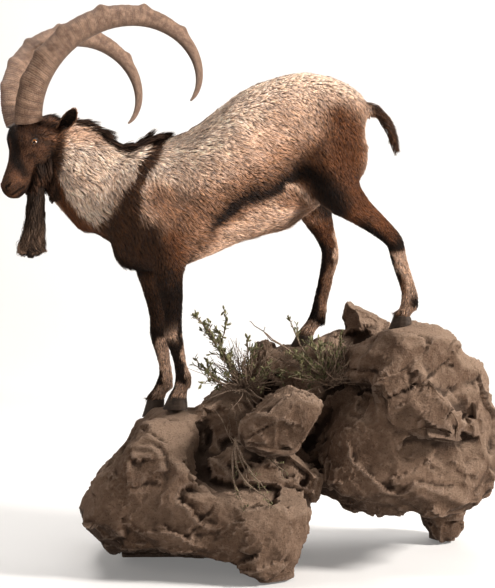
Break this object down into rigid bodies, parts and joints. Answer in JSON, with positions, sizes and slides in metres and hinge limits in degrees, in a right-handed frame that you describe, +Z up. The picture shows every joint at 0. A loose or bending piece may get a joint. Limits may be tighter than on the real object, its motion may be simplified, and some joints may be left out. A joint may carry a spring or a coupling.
{
  "type": "mounted bezoar ibex on rock base",
  "caption": "Life-size mounted bezoar ibex buck, standing on a moulded rock base with low shrubs, for display.",
  "frame": {"origin": "on the base's flat underside at floor level, below the middle of the buck's body", "axes": "+Z up, -X the way the buck faces, -Y its left side"},
  "size_m": [1.5358, 0.7448, 1.7207],
  "materials": {
    "coat": "matte fur",
    "dark_coat": "matte fur",
    "horn": "ringed horn",
    "hoof": "worn horn",
    "eye": "polished",
    "rock": "rough moulded rock",
    "twig": "dry bark and leaves"
  },
  "bodies": {
    "root": {"base_boulder_front": "rock", "base_foot_back": "rock", "base_foot_right": "rock", "base_rock_back": "rock", "base_rock_end": "rock", "base_rock_ledge": "rock", "base_rock_left": "rock", "base_rock_low": "rock", "base_rock_middle": "rock", "base_rock_right": "rock", "base_rock_wedge": "rock", "base_slab_top": "rock", "base_stone_top": "rock", "beard": "dark_coat", "ear_left": "coat", "ear_right": "coat", "eye_left": "eye", "eye_right": "eye", "head": "coat", "hoof_front_left_inner": "hoof", "hoof_front_left_outer": "hoof", "hoof_front_right_inner": "hoof", "hoof_front_right_outer": "hoof", "hoof_hind_left_inner": "hoof", "hoof_hind_left_outer": "hoof", "hoof_hind_right_inner": "hoof", "hoof_hind_right_outer": "hoof", "horn_left_middle": "horn", "horn_left_root": "horn", "horn_left_tip": "horn", "horn_right_middle": "horn", "horn_right_root": "horn", "horn_right_tip": "horn", "leg_front_left": "coat", "leg_front_right": "coat", "leg_hind_left": "coat", "leg_hind_right": "coat", "neck": "coat", "shrub_hanging": "twig", "shrub_left": "twig", "shrub_middle": "twig", "tail": "dark_coat", "torso": "coat"}
  },
  "joints": []
}
